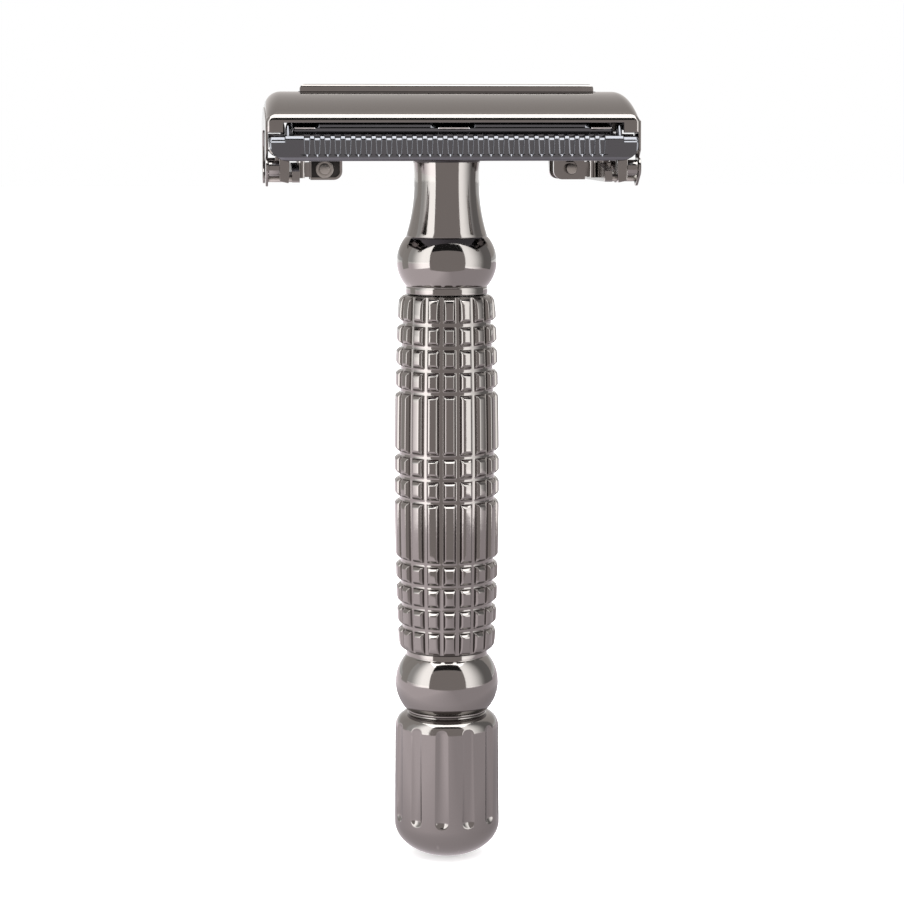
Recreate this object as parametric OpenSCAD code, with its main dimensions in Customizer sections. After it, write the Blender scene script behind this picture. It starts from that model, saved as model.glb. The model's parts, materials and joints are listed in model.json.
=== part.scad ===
// Twist-to-open double-edge safety razor, standing upright on its knob with the head on top.
// The origin is on the handle axis at the lowest point of the knob. +Z runs up to the head,
// +X runs along the head, and -Y is the front. Turning the knob lifts the rod and its crossbar,
// whose drive pins swing the two doors outwards on their pivots.

/* [Head] */
// Length of the guard plate along X
guard_len = 42.1; // [41.8:0.1:42.4]
// Depth of the guard plate over both safety bars
guard_depth = 22; // [21.9:0.1:22.2]
// Height of the safety bars above the underside of the guard plate
guard_h = 2.9; // [2.8:0.1:3]
// Number of grooves in each safety bar
groove_count = 30; // [20:1:32]
// Distance between neighbouring grooves
groove_pitch = 1.163; // [1.1:0.01:1.18]
// Height of the doors' crest above the underside of the guard plate
crest_h = 7.9; // [7.8:0.1:8.1]
// Wall thickness of the doors' shells
door_wall = 0.55; // [0.45:0.05:0.6]
// Length of the centre bar
bar_len = 34.4; // [30:0.1:35]

/* [Handle] */
// Height of the handle between the knob and the head
handle_len = 65.85; // [65:0.05:67]
// Largest radius of the ribbed grip
grip_r = 6.25; // [6:0.05:6.6]
// Number of ribs round the grip
rib_count = 18; // [12:1:24]
// Radius of the neck at its waist
neck_r = 3.82; // [3.7:0.02:4]

/* [Knob] */
// Height of the knob, without its spigot
knob_h = 17.8; // [17:0.1:19]
// Largest radius of the knob
knob_r = 6.33; // [6.1:0.01:6.5]
// Number of flutes round the knob
flute_count = 12; // [8:1:14]

/* [Mechanism] */
// Radius of the lift rod
rod_r = 1.5; // [1.4:0.05:1.6]
// Travel of the lift rod from closed to open
lift = 2.4; // [2.2:0.1:2.5]
// Distance in Y from a door's pivot to the path of its drive pin
lever = 1.5; // [1.45:0.05:1.6]
// Radius of the door pivot pins
pivot_r = 0.55; // [0.5:0.05:0.6]
// Radius of the drive pins
drive_r = 0.42; // [0.35:0.01:0.45]
// Running clearance on the pivot pins
run_gap = 0.05; // [0.03:0.01:0.08]
// Clearance of a drive pin in its slot
slot_gap = 0.15; // [0.12:0.01:0.18]

/* [Hidden] */
$fn = 64;

// Heights along the handle
washer_t = 0.2;
knob_gap = 0.05;
handle_z = knob_h + knob_gap + washer_t;
head_z = handle_z + handle_len;
low_ball_z = handle_z + 3.35;
low_collar_z = handle_z + 6.8;
grip_bottom = handle_z + 7.35;
grip_top = grip_bottom + 42.7;
high_collar_z = grip_top + 0.15;
high_ball_z = high_collar_z + 3.75;
neck_z = high_ball_z + 2.9;
waist_z = head_z - 2.5;

// Grip: short and long rows of ribs, from the top down
row_gap = 0.65;
short_row = 2.02;
long_row = 6.85;
first_row = 3.0;
last_row = 2.66;
rows = [
    first_row, short_row, short_row, short_row, long_row, short_row, short_row, long_row,
    short_row, short_row, short_row, last_row
];
row_depth = 0.6;
row_bevel = 0.22;
neck_curve_r = 21.5;
high_ball_r = 5.92;
high_ball_tube = 4.4;
high_ball_half = 2.85;
low_ball_r = 6.19;
low_ball_tube = 4.9;
low_ball_half = 3.2;
top_round = 1.1;
rib_gap_in = 0.2;
rib_gap_out = 0.5;
grip_mid = grip_bottom + 20.6;
barrel = 0.00108;
rib_floor_r = 5.3;
rib_phase = -1.9;
collar_r = 4.85;

// Knob
flute_r = 1.25;
flute_depth = 0.36;
flute_phase = -10.9;
dome_h = 4.1;
rim_h = 0.2;
rim_r = 4.7;
shoulder_h = 1.7;
shoulder_in = 1.45;
shoulder_z = knob_h - rim_h - shoulder_h;
knob_taper = 0.1;
spigot_r = 3.3;
spigot_h = 5.6;
ring_z = handle_z + 3.6;
ring_t = 0.5;
ring_in = 2.95;
ring_out = 3.9;
bush_r = 2.5;
bush_z = 4.2;
bush_h = 9.5;

// Rod and bores
rod_gap = 0.06;
bore_r = 2.0;
rod_z = 5.2;
thread_pitch = 0.8;
thread_turns = 14;
thread_depth = 0.2;
neck_bush_r = 2.25;
neck_bush_h = 7;
floor_t = 0.7;
head_nut_t = 0.5;
head_nut_r = 4.2;
neck_spigot_r = 2.9;

// Guard plate
bar_y = guard_depth / 2;
wall_t = 1.0;
top_r = 0.45;
rim_in = 6.7;
seat_h = guard_h;
rim_low = seat_h - 0.8;
seat_out = 8.45;
slope_h = 3.4;
floor_half = 11.9;
web_in = 18.5;
corner_r = 2.1;
groove_low = 0.9;
groove_low_r = 0.22;
groove_high_r = 0.37;
fin_slot_w = 1.0;
fin_slot_y = 2.35;
fin_x = 18.6;
fin_t = 0.6;
end_bar_x = 19.3;
end_back = 0.14;
end_drop = 0.12;

// Blade bed and centre bar
bed_half = 18.35;
bed_edge_y = 8.4;
bed_edge_h = 3.7;
bed_crown_h = 6.95;
bed_t = 1.0;
bar_w = 2.2;
bar_base_h = 6.85;
bar_top_h = 8.75;
land_in = 15.9;
centre_land = 1.9;
recess_y = 7.6;
rivet_xs = [-12, 0, 12];
rivet_r = 0.5;

// Doors
door_half = 21.45;
ear_t = 0.32;
lip_y = 9.92;
lip_h = 4.3;
skirt_x = 19.45;
door_split = 0.12;
bar_gap = 0.2;
pivot_y = 9.0;
pivot_h = -0.8;
pivot_z = head_z + pivot_h;
boss_r = 1.15;
relief_r = 3.98;
arc_sag = 3.1;
arc_r = (lip_y * lip_y + arc_sag * arc_sag) / (2 * arc_sag);
arc_z = head_z + crest_h - arc_r;
plate_low_h = 3.35;

// Lifting parts
drive_y = pivot_y - lever;
drive_z = pivot_z - lift / 2;
slot_angle = atan(lift / 2 / lever);
slot_near = lever;
slot_far = norm([lever, lift / 2]);
slot_r = drive_r + slot_gap;
arm_half = 0.92;
strap_z = head_z + 1.3;
strap_t = 0.8;
strap_half_w = 2.2;
web_x = 12.4;
web_end = 16.1;
web_t = 0.6;
web_low = head_z - 2.3;
rim_w = 0.2;
arm_pin_x = 14.45;
arm_pin_z = head_z - 1.05;
arm_pin_r = 0.6;
arm_pin_half = 2.9;
head_x = 17.55;
head_end = 18.4;
rod_tip_r = 1.0;

// Brackets and pins
lug_x = 18.75;
lug_end = 19.9;
lug_in = 8.2;
lug_out = 9.8;
tie_low_h = 1.2;
tie_high_h = 2.1;
tie_end = 20.9;
lug_low_h = -2.5;
spacer_r = 0.9;
screw_y = 4.5;
screw_x = 19.8;
screw_r = 0.45;
screw_head_r = 0.85;
screw_head_t = 0.45;
pin_play = 0.04;

// Colours
gunmetal = [0.36, 0.33, 0.32];
blue_steel = [0.3, 0.31, 0.34];
pin_steel = [0.5, 0.47, 0.45];
brass = [0.72, 0.58, 0.32];

// A YZ outline, extruded along X from x0 to x1
module along_x(x0, x1) {
    translate([x0, 0, 0]) rotate([90, 0, 90]) linear_extrude(x1 - x0) children();
}

// An XZ outline, extruded along Y from y0 to y1
module along_y(y0, y1) {
    translate([0, y1, 0]) rotate([90, 0, 0]) linear_extrude(y1 - y0) children();
}

// A round pin along X from x0 to x1
module pin_x(r, x0, x1) {
    translate([x0, 0, 0]) rotate([0, 90, 0]) cylinder(r = r, h = x1 - x0);
}

// A ring round Z
module ring(r_out, r_in, z0, h) {
    translate([0, 0, z0]) difference() {
        cylinder(r = r_out, h = h);
        translate([0, 0, -1]) cylinder(r = r_in, h = h + 2);
    }
}

// Points of an arc in a plane, round a centre
function arc(c, r, a0, a1, n) =
    [for (i = [0 : n]) c + r * [cos(a0 + (a1 - a0) * i / n), sin(a0 + (a1 - a0) * i / n)]];

// Outer radius of the barrel-shaped grip at height z
function barrel_r(z) = grip_r - barrel * (z - grip_mid) * (z - grip_mid);

// Top of row i of the grip
function row_top(i) = i == 0 ? grip_top : row_top(i - 1) - rows[i - 1] - row_gap;

// Outline of one row of the grip, from its top to its bottom
function row_outline(top, h) = concat(
    [[barrel_r(top) - row_depth, top], [barrel_r(top) - row_bevel, top]],
    [for (i = [0 : 4]) let (z = top - row_bevel - (h - 2 * row_bevel) * i / 4) [barrel_r(z), z]],
    [[barrel_r(top - h) - row_bevel, top - h], [barrel_r(top - h) - row_depth, top - h]]
);

// Outline of the handle, from the head down to the knob
function neck_outline() = [
    for (i = [0 : 8])
        let (z = head_z + (neck_z - head_z) * i / 8, d = z - waist_z)
        [neck_r + neck_curve_r - sqrt(neck_curve_r * neck_curve_r - d * d), z]
];
function ball_outline(z, r, tube, half) = [
    for (i = [0 : 12])
        let (d = half * (1 - i / 6))
        [r - tube + sqrt(tube * tube - d * d), z + d]
];
function handle_outline() = concat(
    [[0, head_z]],
    neck_outline(),
    ball_outline(high_ball_z, high_ball_r, high_ball_tube, high_ball_half),
    [[collar_r, high_ball_z - high_ball_half - 0.15], [collar_r, high_collar_z]],
    [[barrel_r(grip_top) - 0.75, grip_top + 0.05]],
    [for (i = [0 : len(rows) - 1]) each row_outline(row_top(i), rows[i])],
    [[collar_r + 0.1, low_collar_z + 0.1], [collar_r, low_collar_z]],
    ball_outline(low_ball_z, low_ball_r, low_ball_tube, low_ball_half),
    [[collar_r - 0.05, handle_z], [0, handle_z]]
);

module handle_body() {
    color(gunmetal) difference() {
        union() {
            rotate_extrude($fn = 96) polygon(handle_outline());
            translate([0, 0, head_z - 1]) cylinder(r = neck_spigot_r, h = 1 + floor_t + head_nut_t);
        }
        for (i = [0 : rib_count - 1]) rotate(rib_phase + 360 * i / rib_count) rib_groove();
        translate([0, 0, handle_z - 1]) cylinder(r = bore_r, h = handle_len + 4);
        translate([0, 0, handle_z - 1]) cylinder(r = spigot_r + 0.06, h = 1 + spigot_h + 0.5);
        translate([0, 0, ring_z - 0.1]) cylinder(r = ring_out + 0.05, h = ring_t + 0.2);
        translate([0, 0, head_z + floor_t + head_nut_t - neck_bush_h]) cylinder(r = neck_bush_r, h = 9);
        first_row_rounding();
    }
}

// The groove between two ribs, cut the whole length of the grip
module rib_groove() {
    translate([0, 0, grip_bottom - 0.3]) linear_extrude(grip_top - grip_bottom + 0.35)
        polygon([
            [rib_floor_r, -rib_gap_in], [grip_r + 0.4, -rib_gap_out],
            [grip_r + 0.4, rib_gap_out], [rib_floor_r, rib_gap_in]
        ]);
}

// Rounds the upper edge of the first row
module first_row_rounding() {
    shoulder = barrel_r(grip_top);
    rotate_extrude($fn = 96) polygon(concat(
        [[shoulder + 0.5, grip_top - top_round]],
        arc([shoulder - top_round, grip_top - top_round], top_round, 0, 70, 6),
        [[shoulder - 0.72, grip_top + 0.1], [shoulder + 0.5, grip_top + 0.1]]
    ));
}

// Bronze guide for the rod in the top of the neck
module neck_bush() {
    color(brass)
        ring(neck_bush_r, rod_r + rod_gap, head_z + floor_t + head_nut_t - neck_bush_h, neck_bush_h);
}

// Lower edge of a safety bar, eased off where it meets the underside
bar_toe = [[-bar_y + 0.45, 0], [-bar_y + 0.18, 0.28], [-bar_y + 0.06, 0.5]];

// Section of the front safety bar, its sloped top and the inner rim that carries the bed
function bar_section() = concat(
    bar_toe,
    arc([-bar_y + top_r, guard_h - top_r], top_r, 180, 60, 6),
    [
        [-seat_out - 0.05, slope_h], [-seat_out, seat_h], [-rim_in, seat_h],
        [-rim_in, rim_low], [-bar_y + wall_t, rim_low], [-bar_y + wall_t, 0]
    ]
);

// Section of the short bar at each end, set back so that the door's skirt swings over it
function end_bar_section() = concat(
    bar_toe,
    arc([-bar_y + top_r + end_back, guard_h - top_r - end_drop], top_r, 180, 30, 8),
    [[-bar_y + wall_t + 0.02, seat_h - 0.45], [-rim_in, seat_h - 0.45]],
    [[-rim_in, rim_low], [-bar_y + wall_t, rim_low], [-bar_y + wall_t, 0]]
);

// Outline of the guard plate seen from the front
module guard_outline() {
    half = guard_len / 2;
    polygon(concat(
        [[-half + corner_r, 0]],
        [[half - corner_r, 0]],
        arc([half - corner_r, corner_r], corner_r, -90, 0, 8),
        [[half, slope_h + 0.1], [-half, slope_h + 0.1]],
        arc([-half + corner_r, corner_r], corner_r, 180, 270, 8)
    ));
}

// One groove in the safety bar, wider at the top
module bar_groove() {
    translate([0, -bar_y - 0.1, groove_low]) {
        cylinder(r1 = groove_low_r, r2 = groove_high_r, h = guard_h - groove_low + 0.3, $fn = 24);
        sphere(r = groove_low_r, $fn = 24);
    }
}

// Front half of the guard plate
module guard_half() {
    difference() {
        intersection() {
            union() {
                along_x(-end_bar_x, end_bar_x) polygon(bar_section());
                for (x = [-guard_len / 2, end_bar_x])
                    along_x(x, x + guard_len / 2 - end_bar_x) polygon(end_bar_section());
            }
            along_y(-bar_y - 1, 0) guard_outline();
        }
        for (i = [0 : groove_count - 1])
            translate([(i - (groove_count - 1) / 2) * groove_pitch, 0, 0]) bar_groove();
        for (side = [-1, 1])
            translate([side * (fin_x + fin_t / 2) - fin_slot_w / 2, -bar_y - 1, guard_h - 0.75])
                cube([fin_slot_w, fin_slot_y, 2]);
    }
    for (side = [-1, 1])
        translate([side * (fin_x + fin_t / 2), 0, 0]) along_x(-fin_t / 2, fin_t / 2) fin_outline();
}

// Upright fin that locates a corner of the blade
module fin_outline() {
    polygon([
        [-bar_y + 0.3, guard_h - 0.8], [-bar_y + 0.3, guard_h - 0.35], [-9.35, 4.15],
        [-9.1, 4.38], [-8.8, 4.4], [-8.55, 4.2], [-8.5, guard_h - 0.8]
    ]);
}

module guard_plate() {
    color(blue_steel) translate([0, 0, head_z]) difference() {
        union() {
            guard_half();
            rotate(180) guard_half();
            translate([-floor_half, -bar_y + wall_t - 0.01, 0])
                cube([2 * floor_half, guard_depth - 2 * wall_t + 0.02, floor_t]);
            for (turn = [0, 180]) rotate(turn) end_web();
        }
        translate([0, 0, -1]) cylinder(r = neck_spigot_r, h = 4);
        for (sx = [-1, 1], sy = [-1, 1])
            translate([sx * screw_x, sy * screw_y, 0]) cylinder(r = screw_r, h = 9, $fn = 32);
    }
}

// Web that joins the two safety bars at the right-hand end
module end_web() {
    translate([web_in, -rim_in - 0.01, tie_high_h])
        cube([guard_len / 2 - web_in, 2 * rim_in + 0.02, seat_h - tie_high_h + 0.1]);
}

// Nut that holds the guard plate down on the neck
module head_nut() {
    color(pin_steel) difference() {
        ring(head_nut_r, neck_spigot_r, head_z + floor_t, head_nut_t);
        for (a = [45 : 90 : 315]) rotate(a)
            translate([head_nut_r - 0.5, -0.4, head_z + floor_t - 1]) cube([2, 0.8, 3]);
    }
}

// Section of the curved bed that the blade lies on
function bed_section() =
    let (
        sag = bed_crown_h - bed_edge_h,
        r = (bed_edge_y * bed_edge_y + sag * sag) / (2 * sag),
        c = [0, bed_crown_h - r],
        a = acos(bed_edge_y / r),
        b = acos(rim_in / (r - bed_t))
    )
    concat(
        [[bed_edge_y, seat_h]],
        arc(c, r, a, 180 - a, 24),
        [[-bed_edge_y, seat_h], [-rim_in, seat_h]],
        arc(c, r - bed_t, 180 - b, b, 20),
        [[rim_in, seat_h]]
    );

// Cut-back of the bed's front edge between two lands, with slanted ends
module bed_recess(x0, x1) {
    linear_extrude(20) polygon([
        [x0, -bed_edge_y - 1], [x0, -bed_edge_y + 0.15], [x0 + 0.65, -recess_y],
        [x1 - 0.65, -recess_y], [x1, -bed_edge_y + 0.15], [x1, -bed_edge_y - 1]
    ]);
}

module blade_bed() {
    color(blue_steel) translate([0, 0, head_z]) difference() {
        along_x(-bed_half, bed_half) polygon(bed_section());
        for (turn = [0, 180]) rotate(turn) {
            bed_recess(centre_land, land_in);
            bed_recess(-land_in, -centre_land);
        }
        translate([-bar_len / 2, -bar_w / 2, bar_base_h]) cube([bar_len, bar_w, 2]);
        for (x = rivet_xs) translate([x, 0, 0]) cylinder(r = rivet_r, h = 9, $fn = 32);
    }
}

// Upright bar along the middle that centres the blade
module centre_bar() {
    color(gunmetal) translate([0, 0, head_z]) difference() {
        intersection() {
            along_x(-bar_len / 2, bar_len / 2) polygon(concat(
                [[-bar_w / 2, bar_base_h], [bar_w / 2, bar_base_h]],
                arc([bar_w / 2 - 0.35, bar_top_h - 0.35], 0.35, 0, 90, 5),
                arc([-bar_w / 2 + 0.35, bar_top_h - 0.35], 0.35, 90, 180, 5)
            ));
            along_y(-2, 2) polygon(concat(
                [[-bar_len / 2, bar_base_h - 1], [bar_len / 2, bar_base_h - 1]],
                arc([bar_len / 2 - 0.6, bar_top_h - 0.6], 0.6, 0, 90, 6),
                arc([-bar_len / 2 + 0.6, bar_top_h - 0.6], 0.6, 90, 180, 6)
            ));
        }
        for (x = rivet_xs) translate([x, 0, 0])
            cylinder(r = rivet_r, h = bar_top_h - 0.6, $fn = 32);
    }
}

module bar_rivets() {
    underside = bed_crown_h - bed_t;
    color(pin_steel) translate([0, 0, head_z]) for (x = rivet_xs) translate([x, 0, 0])
        translate([0, 0, underside - 0.2])
            cylinder(r = rivet_r, h = bar_top_h - 0.4 - underside, $fn = 32);
}

// Bracket under the right-hand end: a tie across the head with a lug for each door's pivot
module end_bracket() {
    translate([0, 0, head_z]) difference() {
        union() {
            translate([lug_x, -lug_out, tie_low_h])
                cube([tie_end - lug_x, 2 * lug_out, tie_high_h - tie_low_h]);
            for (turn = [0, 1]) mirror([0, turn, 0]) along_y(-lug_out, -lug_in) polygon([
                [lug_x, tie_high_h], [lug_x, lug_low_h + 1.2], [lug_x + 0.12, lug_low_h],
                [lug_end - 0.05, lug_low_h + 0.2], [lug_end, lug_low_h + 1.2], [lug_end, tie_high_h]
            ]);
        }
        for (sy = [-1, 1]) {
            translate([0, sy * pivot_y, pivot_h]) pin_x(pivot_r, lug_x - 1, lug_end + 1);
            translate([screw_x, sy * screw_y, 0]) cylinder(r = screw_r, h = 9, $fn = 32);
        }
    }
}

module right_end_bracket() { color(gunmetal) end_bracket(); }

module left_end_bracket() { color(gunmetal) rotate(180) end_bracket(); }

module bracket_screws() {
    color(pin_steel) for (sx = [-1, 1], sy = [-1, 1])
        translate([sx * screw_x, sy * screw_y, head_z + tie_low_h]) {
            translate([0, 0, -screw_head_t]) difference() {
                cylinder(r = screw_head_r, h = screw_head_t, $fn = 32);
                translate([-1, -0.12, -0.1]) cube([2, 0.24, 0.3]);
            }
            cylinder(r = screw_r, h = seat_h + 0.1 - tie_low_h, $fn = 32);
        }
}

// Every corner of the head, in turn
module at_pivots(y, z) {
    for (turn = [0, 180], side = [0, 1]) rotate(turn) mirror([0, side, 0])
        translate([0, -y, z]) children();
}

module door_pivot_pins() {
    color(pin_steel) at_pivots(pivot_y, pivot_z) {
        pin_x(pivot_r, lug_x, door_half - 0.03);
    }
}

module pivot_spacers() {
    color(gunmetal) at_pivots(pivot_y, pivot_z) difference() {
        pin_x(spacer_r, lug_end, door_half - ear_t - pin_play);
        pin_x(pivot_r, 0, door_half + 1);
    }
}

module drive_pins() {
    color(pin_steel) at_pivots(drive_y, drive_z) pin_x(drive_r, head_x, door_half - 0.03);
}

// Points of the front door's outer surface, from the split at the top to the lip
function door_arc(r) =
    let (a0 = acos(-door_split / r), a1 = acos(-(lip_y - 0.35) / arc_r))
    arc([0, arc_z], r, a0, a1, 16);

// Bend from the curved top of a door into its upright lip
lip_bend = [[-lip_y + 0.12, head_z + lip_h + 0.72], [-lip_y, head_z + lip_h + 0.45]];

// Section of the front door's shell and of its skirt
function door_section() = concat(
    door_arc(arc_r),
    lip_bend,
    [
        [-lip_y, pivot_z], [-lip_y + door_wall, pivot_z],
        [-lip_y + door_wall, head_z + lip_h + 0.2]
    ],
    [for (i = [15 : -1 : 0]) door_arc(arc_r - door_wall)[i]]
);

// End plate of a door, with the ear that carries its pivot hole and its slot
module ear_plate() {
    difference() {
        union() {
            polygon(concat(
                door_arc(arc_r),
                lip_bend,
                [
                    [-lip_y, head_z + 1.2], [-pivot_y - boss_r, pivot_z],
                    [-pivot_y + boss_r - 0.1, pivot_z], [-pivot_y + boss_r + 0.35, head_z + 1.6],
                    [-6.3, head_z + plate_low_h], [-door_split, head_z + plate_low_h]
                ]
            ));
            translate([-pivot_y, pivot_z]) circle(r = boss_r);
            along_slot(0) translate([0, -arm_half]) square([slot_far, 2 * arm_half]);
            along_slot(slot_far) circle(r = arm_half);
        }
        translate([-pivot_y, pivot_z]) circle(r = pivot_r + run_gap);
        along_slot(slot_near) translate([0, -slot_r]) square([slot_far - slot_near, 2 * slot_r]);
        along_slot(slot_near) circle(r = slot_r);
        along_slot(slot_far) circle(r = slot_r);
    }
}

// Places a shape on the line of the slot, at a distance from the pivot
module along_slot(distance) {
    translate([-pivot_y, pivot_z]) rotate(-slot_angle) translate([distance, 0]) children();
}

// Outline that rounds the upper corners of the doors, seen from the front
module door_front_outline() {
    r = 1.3;
    top = head_z + crest_h;
    polygon(concat(
        [[-door_half, head_z - 6], [door_half, head_z - 6]],
        arc([door_half - r, top - r], r, 0, 90, 8),
        arc([-door_half + r, top - r], r, 90, 180, 8)
    ));
}

// Outline that rounds the outer corners of the doors, seen from above
module door_top_outline() {
    r = 0.9;
    polygon(concat(
        [[-door_half, 1], [-door_half, 0]],
        arc([-door_half + r, -lip_y + r], r, 180, 270, 6),
        arc([door_half - r, -lip_y + r], r, 270, 360, 6),
        [[door_half, 0], [door_half, 1]]
    ));
}

module door() {
    inner = door_half - ear_t;
    difference() {
        intersection() {
            union() {
                along_x(-inner, inner) polygon(door_section());
                along_x(inner, door_half) ear_plate();
                along_x(-door_half, -inner) ear_plate();
            }
            along_y(-lip_y - 1, 1) door_front_outline();
            translate([0, 0, head_z - 8]) linear_extrude(30) door_top_outline();
        }
        translate([-skirt_x, -lip_y - 1, head_z - 5]) cube([2 * skirt_x, 3, 5 + lip_h]);
        translate([0, -pivot_y, pivot_z]) pin_x(relief_r, -inner, inner);
        translate([-bar_len / 2 - bar_gap, -bar_w / 2 - bar_gap, head_z])
            cube([bar_len + 2 * bar_gap, 5, 20]);
    }
}

module front_door() { color(gunmetal) door(); }

module rear_door() { color(gunmetal) rotate(180) door(); }

// Washer that the knob turns against
module thrust_washer() {
    color(gunmetal) ring(rim_r, spigot_r + 0.06, handle_z - washer_t, washer_t);
}

// Cone-shaped spring washer above the knob's spigot, which gives the knob its drag
module drag_washer() {
    z = handle_z + spigot_h;
    color(pin_steel) rotate_extrude() polygon([
        [2.3, z + 0.02], [2.9, z + 0.02], [2.9, z + 0.16],
        [1.95, z + 0.48], [1.7, z + 0.48], [1.7, z + 0.34]
    ]);
}

// Split ring that keeps the knob's spigot in the handle
module retaining_ring() {
    color(pin_steel) difference() {
        ring(ring_out, ring_in, ring_z, ring_t);
        translate([0, -0.6, ring_z - 1]) cube([5, 1.2, 3]);
    }
}

// Outline of the knob, from the bottom of its dome up
function knob_outline() = concat(
    [for (i = [0 : 12]) let (a = -90 + 90 * i / 12) [knob_r * cos(a), dome_h + dome_h * sin(a)]],
    [for (i = [0 : 8]) let (a = 90 * i / 8)
        [knob_r - knob_taper - shoulder_in * (1 - cos(a)), shoulder_z + shoulder_h * sin(a)]],
    [[rim_r, knob_h - rim_h], [rim_r, knob_h], [0, knob_h]]
);

module knob() {
    color(gunmetal) difference() {
        union() {
            rotate_extrude($fn = 96) polygon(knob_outline());
            translate([0, 0, knob_h - 1]) cylinder(r = spigot_r, h = 1 + spigot_h + handle_z - knob_h);
        }
        for (i = [0 : flute_count - 1])
            rotate(flute_phase - 90 + 360 * i / flute_count)
                translate([knob_r + flute_r - flute_depth, 0, 0]) flute();
        translate([0, 0, bush_z]) cylinder(r = bush_r, h = 30);
        translate([0, 0, ring_z - 0.1]) difference() {
            cylinder(r = spigot_r + 1, h = ring_t + 0.2);
            translate([0, 0, -1]) cylinder(r = ring_in - 0.1, h = ring_t + 2.2);
        }
    }
}

// One flute with round ends
module flute() {
    low = dome_h + flute_r + 0.1;
    high = shoulder_z + 0.3;
    translate([0, 0, low]) cylinder(r = flute_r, h = high - low, $fn = 32);
    translate([0, 0, low]) sphere(r = flute_r, $fn = 32);
    translate([0, 0, high]) sphere(r = flute_r, $fn = 32);
}

// Threaded bush pressed into the knob, which drives the rod
module knob_bush() {
    color(brass) ring(bush_r, rod_r + rod_gap, bush_z, bush_h);
}

// Lift rod; its thread is drawn as a row of ridges
module lift_rod() {
    thread_top = rod_z + thread_turns * thread_pitch;
    color(pin_steel) difference() {
        union() {
            translate([0, 0, rod_z]) cylinder(r = rod_r, h = strap_z - rod_z);
            translate([0, 0, strap_z - 1]) cylinder(r = rod_tip_r, h = 1 + strap_t + 0.95);
        }
        for (z = [rod_z + thread_pitch / 2 : thread_pitch : thread_top])
            translate([0, 0, z - 0.15]) rotate_extrude() polygon([
                [rod_r + 1, -0.4], [rod_r + 1, 0.7], [rod_r, 0.3], [rod_r - thread_depth, 0.2],
                [rod_r - thread_depth, 0.1], [rod_r, 0]
            ]);
    }
}

// Web at the right-hand end of the crossbar, on its front side
module plain_web() {
    along_y(-strap_half_w, -strap_half_w + web_t) web_outline();
}

module web_outline() {
    difference() {
        polygon(concat(
            [[web_x, strap_z + strap_t]],
            arc([web_x + 1, web_low + 1], 1, 180, 270, 6),
            [[web_end, web_low], [web_end, head_z - 0.3]],
            [[web_end - 0.5, head_z + 0.6], [web_end - 0.5, strap_z + strap_t]]
        ));
        translate([arm_pin_x - 0.15, arm_pin_z + 0.12]) circle(r = 0.87, $fn = 32);
    }
}

// The same web with a turned rim, which faces the front at the left-hand end
module rimmed_web() {
    along_y(-strap_half_w, -strap_half_w + web_t) difference() {
        polygon(concat(
            [[web_x, strap_z + strap_t]],
            arc([web_x + 1, web_low + 1], 1, 180, 270, 6),
            [[web_end, web_low], [web_end, strap_z + strap_t]]
        ));
        translate([arm_pin_x, arm_pin_z]) circle(r = arm_pin_r, $fn = 32);
    }
    along_y(-strap_half_w - 0.3, -strap_half_w + 0.01) polygon(concat(
        [[web_x, head_z - 0.05]],
        arc([web_x + 1, web_low + 1], 1, 180, 270, 6),
        [[web_end, web_low], [web_end, web_low + rim_w]],
        arc([web_x + 1 + rim_w, web_low + 1 + rim_w], 1, 270, 180, 6),
        [[web_x + rim_w, head_z - 0.05]]
    ));
}

module crossbar() {
    color(gunmetal) difference() {
        union() {
            translate([-web_end + 0.5, -strap_half_w, strap_z])
                cube([2 * (web_end - 0.5), 2 * strap_half_w, strap_t]);
            for (turn = [0, 180]) rotate(turn) {
                plain_web();
                mirror([0, 1, 0]) rimmed_web();
            }
        }
        translate([0, 0, strap_z - 1]) cylinder(r = rod_tip_r, h = 4);
    }
}

module crossbar_nut() {
    color(pin_steel) translate([0, 0, strap_z + strap_t]) difference() {
        cylinder(r = 2.1, h = 0.75, $fn = 6);
        translate([0, 0, -1]) cylinder(r = rod_tip_r, h = 3);
    }
}

// Arm at the right-hand end: a block pinned between the webs, and the head that holds the drive pins
module lift_arm() {
    block_half = strap_half_w - web_t - 0.05;
    rib_x = (web_end + head_x) / 2 + 0.25;
    difference() {
        union() {
            translate([web_x + 0.5, -block_half, web_low + 0.3])
                cube([head_x - web_x - 0.5, 2 * block_half, 1.7]);
            for (sy = [-1, 1])
                translate([rib_x, sy * 1.55, web_low + 0.2]) cylinder(r = 0.5, h = 2.1, $fn = 32);
            along_x(head_x, head_end) arm_head_outline();
        }
        translate([web_end + 0.05, -3, web_low]) cube([0.6, 2.05, 4]);
        translate([web_end + 0.05, 0.95, web_low]) cube([0.6, 2.05, 4]);
        translate([arm_pin_x, -5, arm_pin_z]) rotate([-90, 0, 0])
            cylinder(r = arm_pin_r, h = 10, $fn = 32);
        at_pivots(drive_y, drive_z) pin_x(drive_r, head_x - 1, head_end + 1);
    }
}

// Outline of the arm's head across the razor
module arm_head_outline() {
    half = drive_y + 0.65;
    low = head_z + lug_low_h + 0.05;
    polygon([
        [-half, low + 0.2], [-half + 0.2, low], [half - 0.2, low], [half, low + 0.2],
        [half, low + 1.25], [3.2, low + 2.1], [-3.2, low + 2.1], [-half, low + 1.25]
    ]);
}

module right_lift_arm() { color(gunmetal) lift_arm(); }

module left_lift_arm() { color(gunmetal) rotate(180) lift_arm(); }

module arm_pins() {
    color(pin_steel) for (turn = [0, 180]) rotate(turn)
        translate([arm_pin_x, -arm_pin_half, arm_pin_z]) rotate([-90, 0, 0])
            cylinder(r = arm_pin_r, h = 2 * arm_pin_half, $fn = 32);
}

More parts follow.
